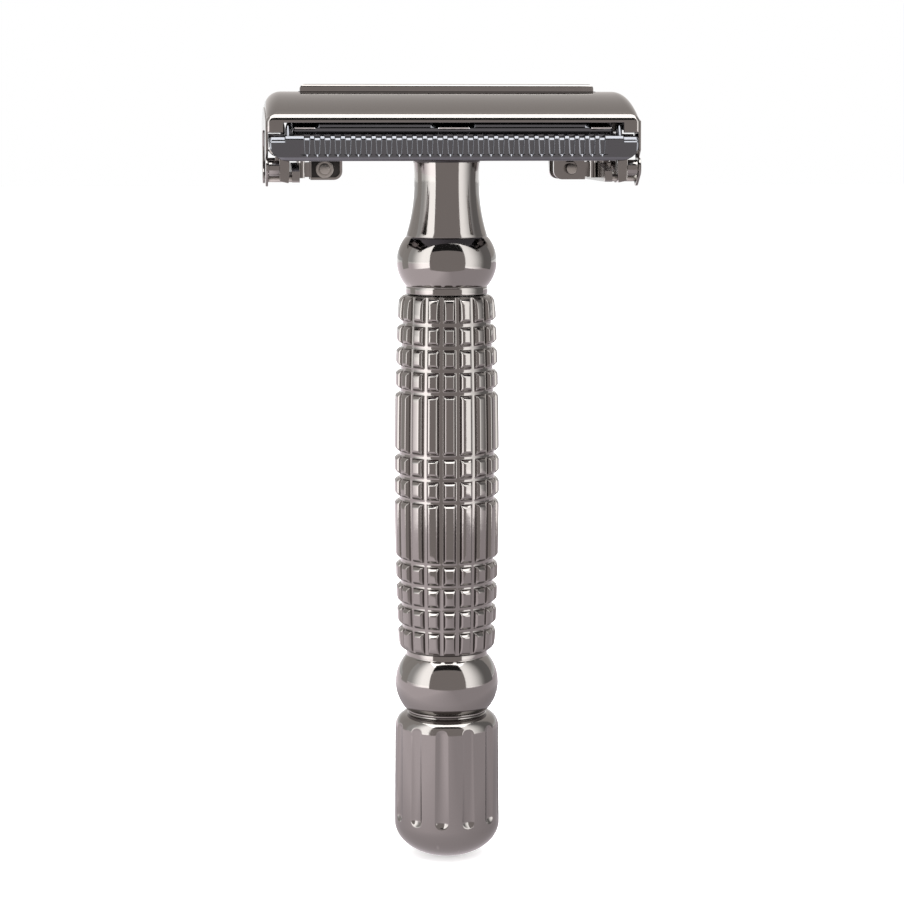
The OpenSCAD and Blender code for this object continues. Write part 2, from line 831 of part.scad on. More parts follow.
// Washers under the pins' ends on the rimmed webs
module pin_washers() {
    color(pin_steel) for (turn = [0, 180]) rotate(turn)
        translate([arm_pin_x, strap_half_w, arm_pin_z]) rotate([-90, 0, 0])
            ring(1.03, arm_pin_r, 0, 0.25);
}

handle_body();
neck_bush();
guard_plate();
head_nut();
blade_bed();
centre_bar();
bar_rivets();
left_end_bracket();
right_end_bracket();
bracket_screws();
door_pivot_pins();
pivot_spacers();
thrust_washer();
drag_washer();
retaining_ring();
knob();
knob_bush();
lift_rod();
crossbar();
crossbar_nut();
left_lift_arm();
right_lift_arm();
arm_pins();
pin_washers();
drive_pins();
front_door();
rear_door();
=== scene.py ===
"""Looks of the twist-to-open safety razor: polished gunmetal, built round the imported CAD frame."""
import json
import math

import bpy
import numpy as np
from mathutils import Matrix, Vector


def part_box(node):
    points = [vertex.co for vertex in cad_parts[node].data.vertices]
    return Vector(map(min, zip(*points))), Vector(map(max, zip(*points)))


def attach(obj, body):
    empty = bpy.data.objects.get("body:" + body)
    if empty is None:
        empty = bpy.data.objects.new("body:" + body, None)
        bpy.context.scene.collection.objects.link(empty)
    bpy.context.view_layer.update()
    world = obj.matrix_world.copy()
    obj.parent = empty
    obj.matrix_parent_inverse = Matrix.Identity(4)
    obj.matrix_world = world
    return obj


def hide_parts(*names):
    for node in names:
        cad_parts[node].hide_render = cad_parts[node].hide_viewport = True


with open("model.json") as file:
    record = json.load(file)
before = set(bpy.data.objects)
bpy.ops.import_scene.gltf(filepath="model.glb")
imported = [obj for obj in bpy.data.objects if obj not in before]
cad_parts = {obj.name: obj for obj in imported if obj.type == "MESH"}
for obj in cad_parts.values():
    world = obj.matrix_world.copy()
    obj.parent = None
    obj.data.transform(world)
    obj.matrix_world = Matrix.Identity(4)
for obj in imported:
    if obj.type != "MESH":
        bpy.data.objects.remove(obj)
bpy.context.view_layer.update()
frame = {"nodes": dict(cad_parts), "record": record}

MM = 0.001

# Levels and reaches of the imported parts, in millimetres
HANDLE_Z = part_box("handle_body")[0].z / MM
HEAD_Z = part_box("guard_plate")[0].z / MM
KNOB_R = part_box("knob")[1].x / MM
DOOR_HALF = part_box("front_door")[1].x / MM
LIP_Y = -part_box("front_door")[0].y / MM
CREST_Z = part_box("front_door")[1].z / MM
# Top of the knob's fluted wall; its sleeve goes on up into the handle
KNOB_TOP = 17.8


# ---------------------------------------------------------------- camera, lights and floor

# Camera's place in metres, and its lens and sensor in millimetres
CAMERA_AZIMUTH = math.radians(-5.5)
CAMERA_PITCH = math.radians(7.54)
CAMERA_DISTANCE = 0.2982
CAMERA_HEIGHT = 0.0887
CAMERA_ASIDE = 0.00063
LENS = 100.4
SENSOR_WIDTH = 36

# Studio in metres, with azimuths in degrees from the camera's
SCREEN_LEFT, SCREEN_RIGHT = -39, 43
SCREEN_DISTANCE = 0.185
SCREEN_SPLIT = 0.174
SCREEN_TOP = 0.31
SIDE_DISTANCE = 0.3
SIDE_TOP = 0.6
BACK_HALF = 1.2
BACK_Y, ABOVE_Y = 0.6, 0.1
BACK_LOW, BACK_TOP = 0.12, 1.1
BACK_COLOUR = (1, 0.945, 0.915)
SIDE_COLOUR = (1, 0.97, 0.97)
FLOOR_CARD_Z = 0.0002
FLOOR_HALF = 3.0


def ground_direction(azimuth):
    """Level unit vector from the handle's axis towards an azimuth; 0 is the front, -Y."""
    return Vector((math.sin(azimuth), -math.cos(azimuth), 0))


def make_camera():
    """Long lens in front of the razor, level with its head and tilted down a little."""
    data = bpy.data.cameras.new("camera")
    data.lens = LENS
    data.sensor_width = SENSOR_WIDTH
    data.clip_start = 0.01
    data.clip_end = 20
    camera = bpy.data.objects.new("camera", data)
    bpy.context.scene.collection.objects.link(camera)
    back = ground_direction(CAMERA_AZIMUTH)
    aside = Vector((-back.y, back.x, 0))
    camera.location = back * CAMERA_DISTANCE + aside * CAMERA_ASIDE + Vector((0, 0, CAMERA_HEIGHT))
    look = -back * math.cos(CAMERA_PITCH) - Vector((0, 0, math.sin(CAMERA_PITCH)))
    camera.rotation_mode = "QUATERNION"
    camera.rotation_quaternion = look.to_track_quat("-Z", "Y")
    bpy.context.scene.camera = camera


def softbox(name, centre, target, width, height, radiance, fade=None):
    """Area light that shows in reflections but not to the camera."""
    data = bpy.data.lights.new(name, "AREA")
    data.shape = "RECTANGLE"
    data.size = width
    data.size_y = height
    data.energy = radiance * math.pi * width * height
    if fade:
        fade_light(data, *fade)
    light = bpy.data.objects.new(name, data)
    light.location = centre
    light.rotation_mode = "QUATERNION"
    light.rotation_quaternion = (Vector(target) - Vector(centre)).to_track_quat("-Z", "Y")
    light.visible_camera = False
    bpy.context.scene.collection.objects.link(light)


def fade_light(data, start, stop, at_start, at_stop):
    """Makes a light change across its width, between two places and two shares of its strength."""
    data.use_nodes = True
    nodes, links = data.node_tree.nodes, data.node_tree.links
    emission = next(n for n in nodes if n.type == "EMISSION")
    place = nodes.new("ShaderNodeNewGeometry")
    parts = nodes.new("ShaderNodeSeparateXYZ")
    ramp = nodes.new("ShaderNodeMapRange")
    ramp.interpolation_type = "SMOOTHSTEP"
    ramp.inputs["From Min"].default_value = start
    ramp.inputs["From Max"].default_value = stop
    ramp.inputs["To Min"].default_value = at_start
    ramp.inputs["To Max"].default_value = at_stop
    links.new(place.outputs["Parametric"], parts.inputs[0])
    links.new(parts.outputs[0], ramp.inputs["Value"])
    links.new(ramp.outputs[0], emission.inputs["Strength"])


def side_box(name, inner, outer, radiance, fade, distance=0.23, low=0.0, high=0.42):
    """Tall softbox that stands between two azimuths, measured from the camera's."""
    middle = CAMERA_AZIMUTH + math.radians((inner + outer) / 2)
    width = 2 * distance * math.tan(math.radians(abs(outer - inner) / 2))
    centre = ground_direction(middle) * distance + Vector((0, 0, (low + high) / 2))
    softbox(name, centre, (0, 0, (low + high) / 2), width, high - low, radiance, fade)


def card(name, corners, colour, strength, shade=None):
    """Flat studio card that reflections see and the camera doesn't; shade varies its strength."""
    mesh = bpy.data.meshes.new(name)
    mesh.from_pydata([tuple(c) for c in corners], [], [(0, 1, 2, 3)])
    obj = bpy.data.objects.new(name, mesh)
    bpy.context.scene.collection.objects.link(obj)
    material = bpy.data.materials.new(name)
    material.use_nodes = True
    nodes, links = material.node_tree.nodes, material.node_tree.links
    nodes.clear()
    emission = nodes.new("ShaderNodeEmission")
    emission.inputs["Color"].default_value = (*colour, 1)
    emission.inputs["Strength"].default_value = strength
    output = nodes.new("ShaderNodeOutputMaterial")
    links.new(emission.outputs[0], output.inputs["Surface"])
    if shade:
        shade(nodes, links, emission, strength)
    mesh.materials.append(material)
    obj.visible_camera = False
    obj.visible_diffuse = False
    obj.visible_shadow = False


def shade_floor(nodes, links, emission, strength):
    """Paints light and shade on the floor card that reflections see: brighter to the left of the razor and
    darker just behind it.
    """
    left, right = -0.04, 0.012
    left_share, right_share = 1.34, 0.84
    painted_shade_spot = (0.005, 0.05, 0)
    dark_r, clear_r, dark_share = 0.025, 0.07, 0.5
    place = nodes.new("ShaderNodeTexCoord")
    parts = nodes.new("ShaderNodeSeparateXYZ")
    links.new(place.outputs["Object"], parts.inputs[0])
    across = spread(nodes, links, parts.outputs[0], left, right,
                    left_share * strength, right_share * strength)
    away = nodes.new("ShaderNodeVectorMath")
    away.operation = "DISTANCE"
    away.inputs[1].default_value = painted_shade_spot
    links.new(place.outputs["Object"], away.inputs[0])
    behind = spread(nodes, links, away.outputs["Value"], dark_r, clear_r, dark_share, 1.0)
    product = nodes.new("ShaderNodeMath")
    product.operation = "MULTIPLY"
    links.new(across, product.inputs[0])
    links.new(behind, product.inputs[1])
    links.new(product.outputs[0], emission.inputs["Strength"])


def upright_card(name, inner, outer, distance, low, high, colour, strength):
    """Card between two azimuths from the camera's, and between two heights."""
    ends = [ground_direction(CAMERA_AZIMUTH + math.radians(a)) * distance for a in (inner, outer)]
    corners = [ends[0] + Vector((0, 0, low)), ends[1] + Vector((0, 0, low)),
               ends[1] + Vector((0, 0, high)), ends[0] + Vector((0, 0, high))]
    card(name, corners, colour, strength)


def make_studio():
    """White surroundings, softboxes at the sides and above, and cards that only reflections see."""
    world = bpy.data.worlds.new("studio")
    world.use_nodes = True
    background = world.node_tree.nodes["Background"]
    background.inputs["Color"].default_value = (1, 1, 1, 1)
    background.inputs["Strength"].default_value = 1.0
    bpy.context.scene.world = world
    side_box("left_softbox", -38.5, -100, radiance=2.7, fade=(0.2, 0.72, 0.0, 1.0))
    side_box("right_softbox", 42.5, 103, radiance=2.8, fade=(0.15, 0.9, 1.0, 0.0))
    softbox("top_softbox", (0, -0.12, 0.5), (0, -0.12, 0), width=0.55, height=0.5, radiance=4.2)
    screen = (SCREEN_LEFT, SCREEN_RIGHT, SCREEN_DISTANCE)
    upright_card("front_card", *screen, 0.0, SCREEN_SPLIT, (1.0, 0.913, 0.897), 0.62)
    upright_card("dark_card", *screen, SCREEN_SPLIT, SCREEN_TOP, (1, 1, 1), 0.03)
    upright_card("left_card", -99, -123, SIDE_DISTANCE, 0.0, SIDE_TOP, (1, 0.96, 0.93), 0.8)
    upright_card("right_card", 85, 124, SIDE_DISTANCE, 0.0, SIDE_TOP, SIDE_COLOUR, 0.38)
    upright_card("far_right_card", 42.5, 85, 0.36, 0.0, SIDE_TOP, SIDE_COLOUR, 0.4)
    low, high, front = ([(-BACK_HALF, y, z), (BACK_HALF, y, z)] for y, z in
                        ((BACK_Y, BACK_LOW), (BACK_Y, BACK_TOP), (ABOVE_Y, BACK_TOP)))
    card("back_card", low + high[::-1], BACK_COLOUR, 0.76)
    card("high_card", high + front[::-1], BACK_COLOUR, 0.84)
    near = [(x, y, FLOOR_CARD_Z) for x, y in ((-1, -1), (1, -1), (1, 1), (-1, 1))]
    # Painted reflection of the floor: a glowing card just above it, brighter to the left, with a painted dark
    # patch behind the razor
    card("floor_shade", near, (1, 0.914, 0.96), 1.08, shade_floor)
    sun = bpy.data.lights.new("floor_fill", "SUN")
    sun.energy = 0.9
    sun.angle = math.radians(60)
    fill = bpy.data.objects.new("floor_fill", sun)
    fill.visible_glossy = False
    fill.visible_camera = False
    bpy.context.scene.collection.objects.link(fill)


def make_floor():
    """Plain pale floor; its faint emission lightens the shadow under the razor."""
    size = FLOOR_HALF
    mesh = bpy.data.meshes.new("floor")
    mesh.from_pydata([(-size, -size, 0), (size, -size, 0), (size, size, 0), (-size, size, 0)], [],
                     [(0, 1, 2, 3)])
    floor = bpy.data.objects.new("floor", mesh)
    bpy.context.scene.collection.objects.link(floor)
    material = bpy.data.materials.new("pale_floor")
    material.use_nodes = True
    shader = material.node_tree.nodes["Principled BSDF"]
    shader.inputs["Base Color"].default_value = (0.86, 0.86, 0.86, 1)
    shader.inputs["Roughness"].default_value = 0.7
    shader.inputs["Specular IOR Level"].default_value = 0.2
    shader.inputs["Emission Color"].default_value = (1, 1, 1, 1)
    shader.inputs["Emission Strength"].default_value = 0.45
    mesh.materials.append(material)


# ---------------------------------------------------------------- materials

# Noise scales per metre, and bump heights in metres
PATCH_SCALE = 90
SMUDGE_SCALE = 160
RIPPLE_SCALE = 700
GRAIN_SCALE = 9000
RIPPLE_HEIGHT = 0.000008
GRAIN_HEIGHT = 0.000001


def noise(nodes, links, place, scale, detail=3.0, rough=0.5, stretch=None):
    """Noise texture over the object's own coordinates, stretched if asked."""
    texture = nodes.new("ShaderNodeTexNoise")
    texture.inputs["Scale"].default_value = scale
    texture.inputs["Detail"].default_value = detail
    texture.inputs["Roughness"].default_value = rough
    source = place.outputs["Object"]
    if stretch:
        mapping = nodes.new("ShaderNodeMapping")
        mapping.inputs["Scale"].default_value = stretch
        links.new(source, mapping.inputs["Vector"])
        source = mapping.outputs["Vector"]
    links.new(source, texture.inputs["Vector"])
    return texture.outputs["Fac"]


def spread(nodes, links, value, low, high, to_low, to_high):
    """Maps a stretch of a value to another range."""
    ramp = nodes.new("ShaderNodeMapRange")
    ramp.inputs["From Min"].default_value = low
    ramp.inputs["From Max"].default_value = high
    ramp.inputs["To Min"].default_value = to_low
    ramp.inputs["To Max"].default_value = to_high
    links.new(value, ramp.inputs["Value"])
    return ramp.outputs[0]


def metal(name, colour, worn, roughness, smudge, ripple, grain, stretch=None):
    """Plated metal with lighter worn edges.

    roughness grows by up to smudge in patches; ripple and grain are a coarse and a fine bump's strength.
    """
    material = bpy.data.materials.new(name)
    material.use_nodes = True
    nodes, links = material.node_tree.nodes, material.node_tree.links
    shader = nodes["Principled BSDF"]
    shader.inputs["Metallic"].default_value = 1.0
    place = nodes.new("ShaderNodeTexCoord")
    geometry = nodes.new("ShaderNodeNewGeometry")
    edges = spread(nodes, links, geometry.outputs["Pointiness"], 0.52, 0.62, 0.0, 1.0)
    patches = spread(nodes, links, noise(nodes, links, place, PATCH_SCALE, 4), 0.35, 0.7, 0.0, 1.0)
    wear = nodes.new("ShaderNodeMath")
    wear.operation = "MULTIPLY"
    links.new(edges, wear.inputs[0])
    links.new(patches, wear.inputs[1])
    tint = nodes.new("ShaderNodeMix")
    tint.data_type = "RGBA"
    tint.inputs[6].default_value = (*colour, 1)
    tint.inputs[7].default_value = (*worn, 1)
    links.new(wear.outputs[0], tint.inputs[0])
    links.new(tint.outputs[2], shader.inputs["Base Color"])
    smudges = noise(nodes, links, place, SMUDGE_SCALE, 5, 0.6)
    gloss = spread(nodes, links, smudges, 0.3, 0.75, roughness, roughness + smudge)
    links.new(gloss, shader.inputs["Roughness"])
    ripples = nodes.new("ShaderNodeBump")
    ripples.inputs["Strength"].default_value = ripple
    ripples.inputs["Distance"].default_value = RIPPLE_HEIGHT
    links.new(noise(nodes, links, place, RIPPLE_SCALE, 2), ripples.inputs["Height"])
    fine = nodes.new("ShaderNodeBump")
    fine.inputs["Strength"].default_value = grain
    fine.inputs["Distance"].default_value = GRAIN_HEIGHT
    links.new(noise(nodes, links, place, GRAIN_SCALE, 3, 0.6, stretch), fine.inputs["Height"])
    links.new(ripples.outputs[0], fine.inputs["Normal"])
    links.new(fine.outputs[0], shader.inputs["Normal"])
    return material


def make_materials():
    """The record's slots, and two more for pieces that have no part of their own in the frame: a brighter
    chrome that paints a highlight and a near-black metal that paints shade.
    """
    warm = (0.24, 0.2265, 0.216)
    warm_worn = (0.32, 0.302, 0.29)
    blue = (0.144, 0.148, 0.160)
    return {
        "gunmetal_handle": metal("gunmetal_handle", warm, warm_worn, 0.05, 0.05, 0.5, 0.4),
        "gunmetal_knob": metal("gunmetal_knob", warm, warm_worn, 0.09, 0.07, 0.5, 0.5),
        "gunmetal_head": metal("gunmetal_head", warm, warm_worn, 0.08, 0.08, 0.6, 0.6),
        "gunmetal_doors": metal("gunmetal_doors", warm, warm_worn, 0.06, 0.05, 0.25, 0.4, (0.05, 1, 1)),
        "dark_chrome": metal("dark_chrome", blue, (0.19, 0.19, 0.205), 0.08, 0.07, 0.3, 0.5),
        "pin_steel": metal("pin_steel", (0.42, 0.40, 0.37), (0.52, 0.5, 0.47), 0.26, 0.12, 0.6, 1.0,
                           (3, 1, 1)),
        # Painted highlight: a brighter copy of the guard's chrome for the blade rests, standing in for the
        # glint along them
        "painted_highlight_chrome": metal("painted_highlight_chrome", (0.8, 0.79, 0.78), (0.9, 0.89, 0.88), 0.06, 0.05, 0.2, 0.3),
        # Painted shade: near-black metal for the plate that darkens the recess of the rimmed webs
        "painted_shade_black": metal("painted_shade_black", (0.02, 0.019, 0.019), (0.06, 0.058, 0.055), 0.3, 0.15, 0.5, 1.0),
        "bronze": metal("bronze", (0.55, 0.40, 0.22), (0.68, 0.52, 0.31), 0.28, 0.15, 0.6, 1.0),
    }


# ---------------------------------------------------------------- mesh helpers

SHADE_ANGLE = math.radians(35)
BEVEL_ANGLE = math.radians(38)
WELD_DISTANCE = 0.000001


def add_object(name, mesh, body, slot, *stands_for):
    """Links a finished mesh as a piece that rides on a body."""
    obj = bpy.data.objects.new(name, mesh)
    bpy.context.scene.collection.objects.link(obj)
    mesh.materials.append(MATERIALS[slot])
    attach(obj, body)
    if stands_for:
        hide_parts(*stands_for)
    return obj


def smooth_mesh(name, points, faces):
    """Mesh from points in millimetres, shaded smooth."""
    mesh = bpy.data.meshes.new(name)
    mesh.from_pydata([tuple(p) for p in np.asarray(points, float) * MM], [], faces)
    mesh.validate()
    mesh.shade_smooth()
    return mesh


def lathe(name, profile, angles, loop=True):
    """Turned solid. profile is a list of (radius or radii, height); a radius of 0 is a pole."""
    count = len(angles)
    cos, sin = np.cos(angles), np.sin(angles)
    points, rings = [], []
    for radius, height in profile:
        first = len(points)
        if np.isscalar(radius) and radius == 0:
            points.append((0, 0, height))
            rings.append([first] * count)
            continue
        radii = np.broadcast_to(radius, count)
        heights = np.broadcast_to(height, count)
        points.extend(zip(radii * cos, radii * sin, heights))
        rings.append(list(range(first, first + count)))
    faces = []
    pairs = list(zip(rings, rings[1:]))
    if loop:
        pairs.append((rings[-1], rings[0]))
    for low, high in pairs:
        for i in range(count):
            j = (i + 1) % count
            face = [low[i], low[j], high[j], high[i]]
            face = [v for k, v in enumerate(face) if v != face[k - 1]]
            faces.append(face)
    return smooth_mesh(name, points, faces)


def even_angles(count):
    """Angles all the way round, the last one short of the first."""
    return np.linspace(0, 2 * np.pi, count, endpoint=False)


def arc(centre, radius, start, end, steps):
    """Points of an arc, with angles in degrees."""
    turns = np.radians(np.linspace(start, end, steps + 1))
    return [(centre[0] + radius * math.cos(a), centre[1] + radius * math.sin(a)) for a in turns]


def shading_group():
    """Geometry nodes that shade smooth, with sharp edges above a set angle."""
    group = bpy.data.node_groups.new("shade_by_angle", "GeometryNodeTree")
    group.interface.new_socket("Geometry", in_out="INPUT", socket_type="NodeSocketGeometry")
    group.interface.new_socket("Geometry", in_out="OUTPUT", socket_type="NodeSocketGeometry")
    nodes, links = group.nodes, group.links
    start, end = nodes.new("NodeGroupInput"), nodes.new("NodeGroupOutput")
    faces = nodes.new("GeometryNodeSetShadeSmooth")
    faces.domain = "FACE"
    angle = nodes.new("GeometryNodeInputMeshEdgeAngle")
    above = nodes.new("FunctionNodeCompare")
    above.operation = "GREATER_THAN"
    above.inputs["B"].default_value = SHADE_ANGLE
    edges = nodes.new("GeometryNodeSetShadeSmooth")
    edges.domain = "EDGE"
    edges.inputs["Shade Smooth"].default_value = False
    links.new(start.outputs[0], faces.inputs["Geometry"])
    links.new(angle.outputs["Unsigned Angle"], above.inputs["A"])
    links.new(faces.outputs[0], edges.inputs["Geometry"])
    links.new(above.outputs[0], edges.inputs["Selection"])
    links.new(edges.outputs[0], end.inputs[0])
    return group


def bare_group():
    """Geometry nodes that drop the stored normals, which a bevel would spoil."""
    group = bpy.data.node_groups.new("drop_stored_normals", "GeometryNodeTree")
    group.interface.new_socket("Geometry", in_out="INPUT", socket_type="NodeSocketGeometry")
    group.interface.new_socket("Geometry", in_out="OUTPUT", socket_type="NodeSocketGeometry")
    nodes, links = group.nodes, group.links
    start, end = nodes.new("NodeGroupInput"), nodes.new("NodeGroupOutput")
    drop = nodes.new("GeometryNodeRemoveAttribute")
    drop.inputs["Name"].default_value = "custom_normal"
    links.new(start.outputs[0], drop.inputs["Geometry"])
    links.new(drop.outputs[0], end.inputs[0])
    return group


def soften(obj, width):
    """Rounds a piece's sharp edges and shades it by angle, with modifiers only."""
    bare = obj.modifiers.new("bare", "NODES")
    bare.node_group = BARE
    weld = obj.modifiers.new("weld", "WELD")
    weld.merge_threshold = WELD_DISTANCE
    if width:
        bevel = obj.modifiers.new("bevel", "BEVEL")
        bevel.width = width * MM
        bevel.segments = 2
        bevel.limit_method = "ANGLE"
        bevel.angle_limit = BEVEL_ANGLE
        bevel.use_clamp_overlap = True
    shade = obj.modifiers.new("shade", "NODES")
    shade.node_group = SHADING


def plate(outlines, thickness, edge):
    """Flat plate of some thickness in X, from closed outlines in (Y, Z), with rounded edges."""
    data = bpy.data.curves.new("plate", "CURVE")
    data.dimensions = "2D"
    data.fill_mode = "BOTH"
    data.extrude = (thickness / 2 - edge) * MM
    data.bevel_depth = edge * MM
    data.bevel_resolution = 2
    data.offset = -edge * MM
    for outline in outlines:
        spline = data.splines.new("POLY")
        spline.points.add(len(outline) - 1)
        for point, (y, z) in zip(spline.points, outline):
            point.co = (y * MM, z * MM, 0, 1)
        spline.use_cyclic_u = True
    obj = bpy.data.objects.new("plate", data)
    bpy.context.scene.collection.objects.link(obj)
    bpy.context.view_layer.update()
    mesh = bpy.data.meshes.new_from_object(obj.evaluated_get(bpy.context.evaluated_depsgraph_get()))
    bpy.data.objects.remove(obj)
    mesh.transform(Matrix(((0, 0, 1, 0), (1, 0, 0, 0), (0, 1, 0, 0), (0, 0, 0, 1))))
    mesh.shade_smooth()
    return mesh


def joined(name, meshes):
    """One mesh made of several."""
    objects = []
    for mesh in meshes:
        obj = bpy.data.objects.new(name, mesh)
        bpy.context.scene.collection.objects.link(obj)
        objects.append(obj)
    with bpy.context.temp_override(active_object=objects[0], selected_editable_objects=objects,
                                   object=objects[0], selected_objects=objects):
        bpy.ops.object.join()
    mesh = objects[0].data
    bpy.data.objects.remove(objects[0])
    mesh.name = name
    return mesh


# ---------------------------------------------------------------- handle

GRIP_BOTTOM = HANDLE_Z + 7.35
GRIP_TOP = GRIP_BOTTOM + 42.7
GRIP_MID = GRIP_BOTTOM + 20.6
HIGH_BALL_Z = GRIP_TOP + 3.9
LOW_BALL_Z = HANDLE_Z + 3.35
BORE_R = 2.0
COLLAR_R = 4.85
BARREL_R = 6.25
BARREL_CURVE = 0.00108
GRIP_END_R = 4.0
GRIP_END_DROP = 0.05
RIB_COUNT = 18
RIB_PHASE = math.radians(-1.9)
RIB_DEPTH = 0.6
RIB_REF_R = 6.0
ROW_GAP = 0.65
SHORT_ROW = 2.02
LONG_ROW = 6.85
ROWS = [3.0, SHORT_ROW, SHORT_ROW, SHORT_ROW, LONG_ROW, SHORT_ROW, SHORT_ROW, LONG_ROW,
        SHORT_ROW, SHORT_ROW, SHORT_ROW, 2.66]
END_ROUND = 1.1
TURNED_SIDES = 192
RING_STEP = 0.45
# Share of the ribs' height at each step out from a groove's centre line, and the steps themselves
GROOVE_RISE = [0, 0, 0.03, 0.12, 0.38, 0.5, 0.62, 0.84, 0.94, 0.99, 1]
SIDE_STEPS = [0, 0.22, 0.26, 0.285, 0.315, 0.345, 0.40, 0.50, 0.56, 0.63, 0.72]
ROW_STEPS = [0, 0.20, 0.24, 0.27, 0.305, 0.34, 0.42, 0.55, 0.62, 0.70, 0.80]


def barrel_radius(z):
    """Radius over the ribs, largest a little below the grip's middle."""
    return BARREL_R - BARREL_CURVE * (z - GRIP_MID) ** 2


def rib_columns():
    """Angles round the grip, and the ribs' height share at each of them."""
    angles, shares = [], []
    half = math.pi / RIB_COUNT
    edge = SIDE_STEPS[-1]
    face = [edge + (half * RIB_REF_R - edge) * k / 3 for k in (1, 2, 3)]
    steps = [*zip(SIDE_STEPS, GROOVE_RISE), *[(f, 1) for f in face]]
    for rib in range(RIB_COUNT):
        middle = RIB_PHASE + 2 * half * rib
        for step, share in reversed(steps[1:-1]):
            angles.append(middle - step / RIB_REF_R)
            shares.append(share)
        for step, share in steps:
            angles.append(middle + step / RIB_REF_R)
            shares.append(share)
    return np.array(angles), np.array(shares)


def grip_levels():
    """Heights down the grip, and the ribs' height share at each of them."""
    levels = []
    past_groove = ROW_STEPS[-1] - ROW_GAP / 2
    top = GRIP_TOP
    for row, height in enumerate(ROWS):
        bottom = top - height
        start = top - (END_ROUND if row == 0 else past_groove)
        stop = bottom + (END_ROUND if row == len(ROWS) - 1 else past_groove)
        inner = max(1, round((start - stop) / RING_STEP))
        levels += [(start + (stop - start) * k / inner, 1.0) for k in range(1, inner)]
        if row < len(ROWS) - 1:
            middle = bottom - ROW_GAP / 2
            steps = list(zip(ROW_STEPS, GROOVE_RISE))
            levels += [(middle + step, share) for step, share in reversed(steps[1:])]
            levels += [(middle - step, share) for step, share in steps]
        top = bottom - ROW_GAP
    return levels


def make_grip():
    """Barrel with ribs cut into rows by grooves, and rounded at both ends."""
    angles, shares = rib_columns()
    profile = []

    def ring(z, share, cap=100.0):
        full = barrel_radius(z)
        radii = full - RIB_DEPTH + RIB_DEPTH * np.minimum(shares, share)
        profile.append((np.minimum(radii, cap), z))

    top_cap = barrel_radius(GRIP_TOP) - END_ROUND
    low_cap = barrel_radius(GRIP_BOTTOM) - END_ROUND
    for turn in range(80, -1, -8):
        a = math.radians(turn)
        ring(GRIP_TOP - END_ROUND + END_ROUND * math.sin(a), 1, top_cap + END_ROUND * math.cos(a))
    for z, share in grip_levels():
        ring(z, share)
    for turn in range(0, 81, 8):
        a = math.radians(turn)
        ring(GRIP_BOTTOM + END_ROUND - END_ROUND * math.sin(a), 1, low_cap + END_ROUND * math.cos(a))
    low_end = profile[-1][1] - GRIP_END_DROP
    profile += [(GRIP_END_R, low_end), (BORE_R, low_end), (BORE_R, GRIP_TOP), (GRIP_END_R, GRIP_TOP)]
    mesh = lathe("ribbed_grip", profile, angles)
    add_object("ribbed_grip", mesh, "handle", "gunmetal_handle", "handle_body")


def ball(z, radius, tube, half, steps):
    """Profile of a ball from its upper edge down."""
    heights = [half * (1 - 2 * k / steps) for k in range(steps + 1)]
    return [(radius - tube + math.sqrt(tube * tube - d * d), z + d) for d in heights]


def make_neck():
    """Flared neck with its spigot into the guard, the upper ball and the collar on the grip."""
    waist = HEAD_Z - 2.5
    waist_r = 3.82
    curve = 21.5
    spigot_r, spigot_top = 2.9, HEAD_Z + 1.2
    bush_r, bush_low = 2.25, HEAD_Z - 5.8
    neck_end = HIGH_BALL_Z + 2.98
    seam = HIGH_BALL_Z - 2.98
    flare = [HEAD_Z - 0.03 + (neck_end - HEAD_Z + 0.03) * k / 24 for k in range(25)]
    outer = [(bush_r, spigot_top), (spigot_r, spigot_top), (spigot_r, HEAD_Z), (3.9, HEAD_Z)]
    outer += [(waist_r + curve - math.sqrt(curve ** 2 - (z - waist) ** 2), z) for z in flare]
    outer += [(4.80, neck_end - 0.05), (4.76, neck_end - 0.08)]
    outer += ball(HIGH_BALL_Z, 5.92, 4.4, 2.87, 36)
    outer += [(4.80, seam + 0.06), (4.80, seam), (4.84, seam - 0.05), (COLLAR_R, seam - 0.12)]
    outer += [(COLLAR_R, GRIP_TOP + 0.2), (4.83, GRIP_TOP + 0.12), (4.76, GRIP_TOP + 0.06)]
    inner = [(BORE_R, GRIP_TOP + 0.06), (BORE_R, bush_low), (bush_r, bush_low)]
    mesh = lathe("neck", outer + inner, even_angles(TURNED_SIDES))
    add_object("neck", mesh, "handle", "gunmetal_handle", "handle_body")


def make_foot():
    """Lower ball with the collar above it and the bore that the knob's sleeve turns in."""
    collar_top = GRIP_BOTTOM - 0.02
    bore_r, bore_top = 3.36, HANDLE_Z + 6.1
    outer = [(4.78, collar_top), (4.84, collar_top - 0.04), (COLLAR_R, collar_top - 0.1)]
    outer += [(COLLAR_R, LOW_BALL_Z + 3.42)]
    outer += [(4.86, LOW_BALL_Z + 3.34), (4.93, LOW_BALL_Z + 3.27)]
    outer += ball(LOW_BALL_Z, 6.19, 4.9, 3.2, 40)
    outer += [(4.93, LOW_BALL_Z - 3.24), (4.80, LOW_BALL_Z - 3.26), (4.79, HANDLE_Z + 0.03), (4.76, HANDLE_Z)]
    inner = [(bore_r, HANDLE_Z), (bore_r, bore_top), (BORE_R, bore_top), (BORE_R, collar_top)]
    mesh = lathe("foot", outer + inner, even_angles(TURNED_SIDES))
    add_object("foot", mesh, "handle", "gunmetal_handle", "handle_body")


# ---------------------------------------------------------------- knob

